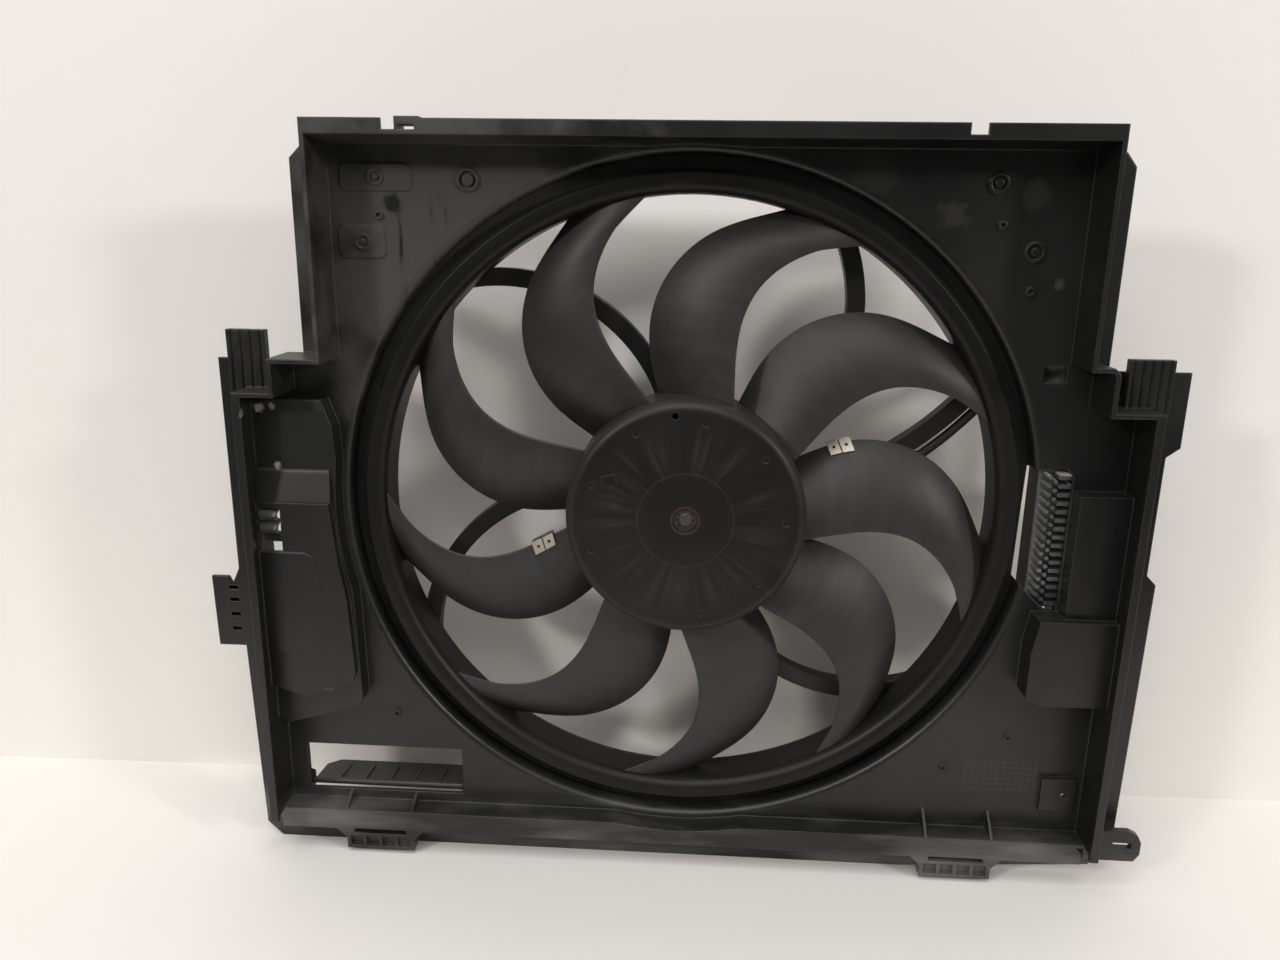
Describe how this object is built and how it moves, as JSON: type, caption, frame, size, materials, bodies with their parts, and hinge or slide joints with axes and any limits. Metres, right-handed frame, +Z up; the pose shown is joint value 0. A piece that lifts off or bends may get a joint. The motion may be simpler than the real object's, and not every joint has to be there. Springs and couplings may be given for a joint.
{
  "type": "radiator cooling fan",
  "caption": "Moulded fan shroud with a bladed fan wheel in a round opening, driven by a flat motor on curved arms, with a motor controller and an air flap.",
  "frame": {"origin": "on the fan's axis, in the plane of the shroud's front rim", "axes": "+X to the right seen from the radiator, +Y rearwards along the fan's axis, +Z up"},
  "size_m": [0.716, 0.114, 0.557],
  "materials": {
    "shroud_plastic": "satin black moulded plastic",
    "clip_plastic": "glossy black plastic",
    "flap_plastic": "matt black plastic",
    "fan_plastic": "matt dark grey plastic",
    "clip_steel": "plain spring steel",
    "plain_steel": "bare steel",
    "sink_aluminium": "bare cast aluminium",
    "cable_tape": "woven tape over the leads",
    "tie_plastic": "matt",
    "grommet_rubber": "soft black rubber",
    "motor_paint": "black paint on drawn steel",
    "motor_zinc": "plated steel",
    "ferrite": "ground ferrite",
    "lamination_steel": "stacked sheet",
    "copper_wire": "enamelled copper",
    "copper_bar": "bare copper",
    "bearing_steel": "polished steel",
    "holder_plastic": "dark phenolic",
    "carbon": "pressed carbon",
    "spring_steel": "strip steel",
    "plated_screw": "plated steel",
    "cover_plastic": "matt black plastic",
    "board": "green lacquered laminate",
    "socket_plastic": "matt black plastic",
    "contact_tin": "tinned"
  },
  "bodies": {
    "frame": {"shroud": "shroud_plastic", "motor_carrier": "shroud_plastic", "spring_clip": "clip_plastic", "heat_sink": "sink_aluminium", "motor_cable": "cable_tape", "cable_ties": "tie_plastic", "cable_grommet": "grommet_rubber", "motor_housing": "motor_paint", "motor_end_shield": "motor_zinc", "motor_magnets": "ferrite", "front_bearing": "bearing_steel", "rear_bearing": "bearing_steel", "brush_holder": "holder_plastic", "carbon_brushes": "carbon", "brush_springs": "spring_steel", "motor_screws": "plated_screw", "controller_screws": "plated_screw", "controller_cover": "cover_plastic", "circuit_board": "board", "plug_socket": "socket_plastic", "plug_contacts": "contact_tin"},
    "rotor": {"fan_hub": "fan_plastic", "fan_blades": "fan_plastic", "fan_ring": "fan_plastic", "balance_clips": "clip_steel", "shaft_retainer": "plain_steel", "hub_insert": "plain_steel", "motor_shaft": "plain_steel", "armature_core": "lamination_steel", "armature_windings": "copper_wire", "commutator": "copper_bar"},
    "flap": {"air_flap": "flap_plastic"}
  },
  "joints": [
    {"name": "fan_spin", "type": "hinge", "parent": "frame", "child": "rotor", "pos_m": [0, 0.06, 0], "axis": [0, 1, 0], "continuous": true},
    {"name": "flap_hinge", "type": "hinge", "parent": "frame", "child": "flap", "pos_m": [-0.2355, 0.044, -0.24], "axis": [1, 0, 0], "range_deg": [0, 94]}
  ]
}
